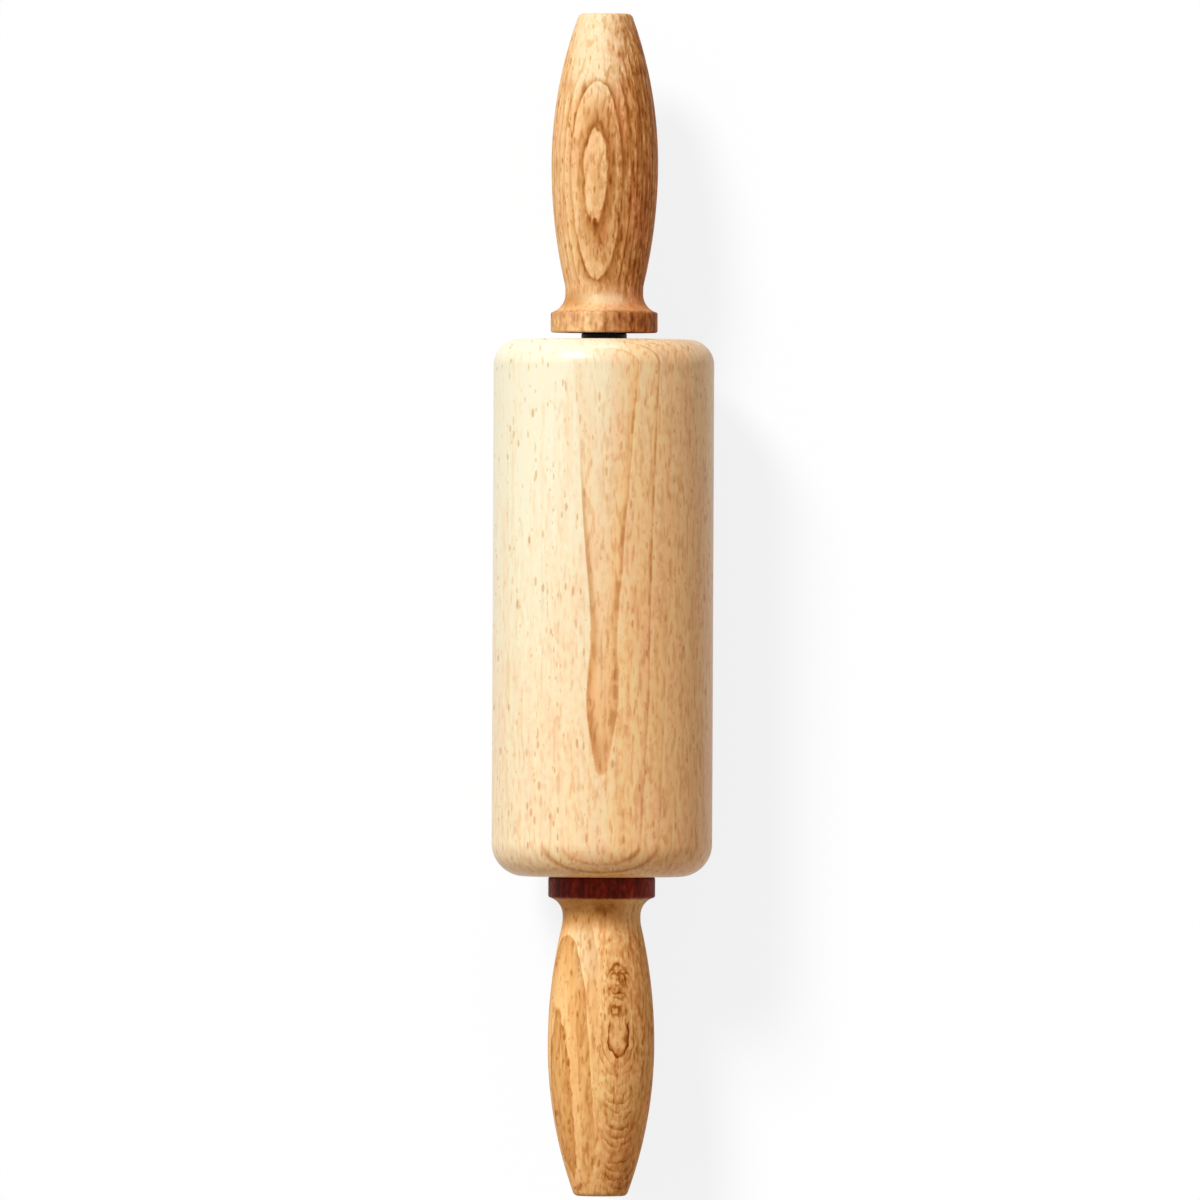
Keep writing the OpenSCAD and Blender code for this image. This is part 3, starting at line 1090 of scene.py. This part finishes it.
def signed_area(outline):
    """Above zero where the outline runs round its wood against the clock."""
    pairs = zip(outline, outline[1:] + outline[:1])
    return sum(a[0] * b[1] - b[0] * a[1] for a, b in pairs) / 2


def turned(name, outline, material, around, closed, seed):
    """Turns an outline in millimetres into a plain mesh object, checked to face outwards."""
    if signed_area(outline) > 0:
        outline = outline[::-1]
    if closed:
        outline = outline + outline[:1]
    line = bpy.data.meshes.new(name)
    links = [(i, i + 1) for i in range(len(outline) - 1)]
    line.from_pydata([(x * MM, r * MM, 0) for x, r in outline], links, [])
    piece = bpy.data.objects.new(name, line)
    scene.collection.objects.link(piece)
    modifier = piece.modifiers.new("lathe", "NODES")
    modifier.node_group = lathe
    settings = {"Faces Around": around, "Seed": seed, "Material": material}
    for item in lathe.interface.items_tree:
        if item.in_out == "INPUT" and item.name in settings:
            modifier[item.identifier] = settings[item.name]
    evaluated = piece.evaluated_get(bpy.context.evaluated_depsgraph_get())
    mesh = bpy.data.meshes.new_from_object(evaluated)
    piece.modifiers.remove(modifier)
    piece.data = mesh
    mesh.name = name
    check = bmesh.new()
    check.from_mesh(mesh)
    volume = check.calc_volume(signed=True) * 1e6
    loose = sum(not edge.is_manifold for edge in check.edges)
    triangles = len(check.calc_loop_triangles())
    check.free()
    print(f"{name}: {volume:.2f} ml, {triangles} triangles, {loose} open edges")
    return piece


# %% [markdown]
# ## The roller
#
# The roller is a bored cylinder with a large rounding at each end, 7 mm at the left and 9 mm at the
# right. Each end face has a shallow seat in which a bush's flange lies flush, with its edge just broken
# by sandpaper.

# %% Turn the roller
low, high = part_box("roller")
LEFT_X = low.x / MM
RIGHT_X = high.x / MM
LEFT_ROUND = 7.0
RIGHT_ROUND = 9.0
CORE_R = 7.0
BUSH_R = 9.0
BUSH_LEN = 16.0
SEAT_R = 12.6
SEAT_DEPTH = 1.6
BROKEN_EDGE = 0.25
BORE_STEP = 4.0
FACE_STEP = 0.6
SKIN_STEP = 0.5

left_round = arc((LEFT_X + LEFT_ROUND, ROLLER_R - LEFT_ROUND), LEFT_ROUND, 180, 90)
right_round = arc((RIGHT_X - RIGHT_ROUND, ROLLER_R - RIGHT_ROUND), RIGHT_ROUND, 90, 0)
roller_outline = joined(
    run((0, CORE_R), (LEFT_X + BUSH_LEN, CORE_R), BORE_STEP),
    run((LEFT_X + BUSH_LEN, BUSH_R), (LEFT_X + SEAT_DEPTH, BUSH_R), BORE_STEP),
    [(LEFT_X + SEAT_DEPTH, SEAT_R)],
    [(LEFT_X + BROKEN_EDGE, SEAT_R), (LEFT_X, SEAT_R + BROKEN_EDGE)],
    run((LEFT_X, SEAT_R + BROKEN_EDGE), left_round[0], FACE_STEP),
    left_round,
    run(left_round[-1], right_round[0], SKIN_STEP),
    right_round,
    run(right_round[-1], (RIGHT_X, SEAT_R + BROKEN_EDGE), FACE_STEP),
    [(RIGHT_X - BROKEN_EDGE, SEAT_R), (RIGHT_X - SEAT_DEPTH, SEAT_R)],
    run((RIGHT_X - SEAT_DEPTH, BUSH_R), (RIGHT_X - BUSH_LEN, BUSH_R), BORE_STEP),
    run((RIGHT_X - BUSH_LEN, CORE_R), (BORE_STEP, CORE_R), BORE_STEP),
)
roller = turned("turned_roller", roller_outline, roller_beech, around=224, closed=True, seed=1.0)
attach(roller, "roller")
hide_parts("roller")

# %% [markdown]
# ## The handles
#
# A handle starts at its collar, goes down a cove to a short neck, swells into a barrel that is widest a
# little past the middle, and narrows to a flat end with a rounded edge. Each curve is one arc of the
# real turning. The blind hole for the steel rod is part of the same outline, so the handle is closed
# and solid all round.

# %% Turn the handles
COLLAR_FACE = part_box("right_handle")[0].x / MM
HANDLE_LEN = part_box("right_handle")[1].x / MM - COLLAR_FACE
COLLAR_R = 14.55
COLLAR_LEN = 5.5
COLLAR_ROUND = 0.6
COVE_R = 5.0
NECK_R = 10.6
NECK_LEN = 1.2
HOLLOW_R = 8.0
BARREL_AT = BARREL_X - COLLAR_FACE
END_R = 7.1
END_ROUND = 1.5
HOLE_R = 4.0
HOLE_DEEP = 50.0
DRILL_TIP = 2.4
HOLE_STEP = 5.0
COLLAR_STEP = 0.8
END_STEP = 0.7

cove_rise = NECK_R + COVE_R - COLLAR_R
neck_start = COLLAR_LEN + math.sqrt(COVE_R**2 - cove_rise**2)
cove_c = (neck_start, NECK_R + COVE_R)
reach = math.sqrt((COVE_R + COLLAR_ROUND) ** 2 - (cove_rise + COLLAR_ROUND) ** 2)
edge_c = (neck_start - reach, COLLAR_R - COLLAR_ROUND)
neck_end = neck_start + NECK_LEN
swell = BARREL_R - NECK_R
inner_run = BARREL_AT - neck_end
inner_r = (inner_run**2 / swell + swell) / 2 - HOLLOW_R
inner_c = (BARREL_AT, BARREL_R - inner_r)
hollow_c = (neck_end, NECK_R + HOLLOW_R)
narrowing = BARREL_R - END_R
outer_run = HANDLE_LEN - BARREL_AT
outer_r = (outer_run**2 / narrowing + narrowing) / 2
outer_c = (BARREL_AT, BARREL_R - outer_r)
end_lift = math.sqrt((outer_r - END_ROUND) ** 2 - (outer_run - END_ROUND) ** 2)
end_c = (HANDLE_LEN - END_ROUND, outer_c[1] + end_lift)

hole = [(HOLE_DEEP + DRILL_TIP, 0.0), (HOLE_DEEP, HOLE_R)]
to_cove = towards(edge_c, cove_c)
to_barrel = towards(hollow_c, inner_c)
to_end = towards(outer_c, end_c)
handle_outline = joined(
    hole,
    run((HOLE_DEEP, HOLE_R), (0.0, HOLE_R), HOLE_STEP),
    run((0.0, HOLE_R), (0.0, COLLAR_R - COLLAR_ROUND), COLLAR_STEP),
    arc((COLLAR_ROUND, COLLAR_R - COLLAR_ROUND), COLLAR_ROUND, 180, 90),
    run((COLLAR_ROUND, COLLAR_R), (edge_c[0], COLLAR_R)),
    arc(edge_c, COLLAR_ROUND, 90, to_cove),
    arc(cove_c, COVE_R, to_cove + 180, 270),
    run((neck_start, NECK_R), (neck_end, NECK_R)),
    arc(hollow_c, HOLLOW_R, 270, 360 + to_barrel),
    arc(inner_c, inner_r, 180 + to_barrel, 90),
    arc(outer_c, outer_r, 90, to_end),
    arc(end_c, END_ROUND, to_end, 0),
    run((HANDLE_LEN, end_c[1]), (HANDLE_LEN, 0.0), END_STEP),
)
right_outline = [(COLLAR_FACE + s, r) for s, r in handle_outline]
left_outline = [(-x, r) for x, r in right_outline]
handles = {
    "left_handle": (left_outline, left_beech, 2.0),
    "right_handle": (right_outline, right_beech, 3.0),
}
for node, (outline, finish, seed) in handles.items():
    piece = turned("turned_" + node, outline, finish, around=160, closed=False, seed=seed)
    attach(piece, "handles")
    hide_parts(node)

# %% [markdown]
# ## Black plastic
#
# The spacer tube shows as a black bar in the gap beside the left handle, and the bushes' flanges lie in
# the roller's ends. Their shapes are right as they come from the frame, so only their finish is made
# here. Moulded nylon is a little grey where the light grazes it, has a fine grained skin, and is rubbed
# in rounds where it runs. One group makes that for both pieces, with its own values for the extruded
# tube and the moulded bushes.

# %% Make the plastic
NYLON_SHEEN = 0.2
NYLON_INPUTS = {
    "Place": "NodeSocketVector",
    "Black": (0.003, 0.003, 0.0033, 1.0),
    "Rubbed": (0.025, 0.025, 0.026, 1.0),
    "Grain Size": 0.25,
    "Rub": 0.5,
    "Seed": 0.0,
}
plastic, given, out = new_group("Nylon skin", "ShaderNodeTree", NYLON_INPUTS, SKIN)
along, across, up = in_mm(given["Place"])
out_from_axis = calc("SQRT", across * across + up * up)
grain_size = given["Grain Size"]
skin_place = vector(along / grain_size, across / grain_size, up / grain_size + given["Seed"])
bumps = noise(skin_place, 3.0)
rounds = noise(vector(along * 5.0 + given["Seed"], out_from_axis * 5.0, 0.0), 3.0)
patches = noise(vector(along / 4.0, across / 4.0 + given["Seed"], up / 4.0), 2.0)
rubbed = ramp(rounds + patches, 0.02, 0.35) * given["Rub"]
skin = {
    "Colour": mix(rubbed, given["Black"], given["Rubbed"]),
    "Roughness": 0.42 + 0.25 * bumps - 0.12 * rubbed,
    "Height": bumps * 0.5 + rounds * given["Rub"],
}
feed(out, skin)


def nylon_finish(name, **values):
    """A black nylon material."""
    material, shader, place = new_material(name)
    dress(shader, use_group(plastic, Place=place, **values))
    shader.inputs["Specular IOR Level"].default_value = NYLON_SHEEN
    return material


plastics = {
    "spacer_tube": nylon_finish("extruded_nylon", Rub=0.7, Grain_Size=0.4, Seed=4.0),
    "left_bush": nylon_finish("moulded_nylon", Rub=0.3, Grain_Size=0.2, Seed=5.0),
}
plastics["right_bush"] = plastics["left_bush"]
print("plastic pieces:", ", ".join(plastics))

# %% [markdown]
# ## Drawn steel
#
# The rod is hidden inside the pin, but it is part of the model and may be looked at by itself. Bright
# drawn steel has fine scratches along its length from the die, and faint stains where it was handled
# before assembly.

# %% Make the steel
SCRATCH_DEPTH = 0.01 * MM

steel, shader, place = new_material("drawn_steel")
along, across, up = in_mm(place)
scratches = noise(vector(along / 12.0, across * 9.0, up * 9.0), 3.0)
stains = noise(vector(along / 9.0, across / 3.0, up / 3.0), 3.0)
shade = ramp(scratches + 0.6 * stains, -0.3, 0.35)
finish = {
    "Base Color": mix(shade, paint(150, 150, 150), paint(196, 197, 200)),
    "Roughness": 0.30 + 0.25 * scratches + 0.15 * stains,
    "Metallic": 1.0,
}
feed(shader, finish)
bump(shader, scratches, SCRATCH_DEPTH, 0.4)

for node, finish in {**plastics, "axle_rod": steel}.items():
    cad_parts[node].data.materials.clear()
    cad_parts[node].data.materials.append(finish)
print("frame pieces with a new finish:", len(plastics) + 1)

# %% [markdown]
# ## Size of the pin
#
# Both boxes, the frame's and the finished pin's, are printed with their sizes. The finished pin may
# not be larger than the frame that it stands for.

# %% Print both boxes
visual_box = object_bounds()
sizes = {
    "cad": [list(corner) for corner in cad_box],
    "visual": [list(corner) for corner in visual_box],
}
for name, (low, high) in sizes.items():
    print(name, [round((b - a) * 1000, 2) for a, b in zip(low, high)], "mm")
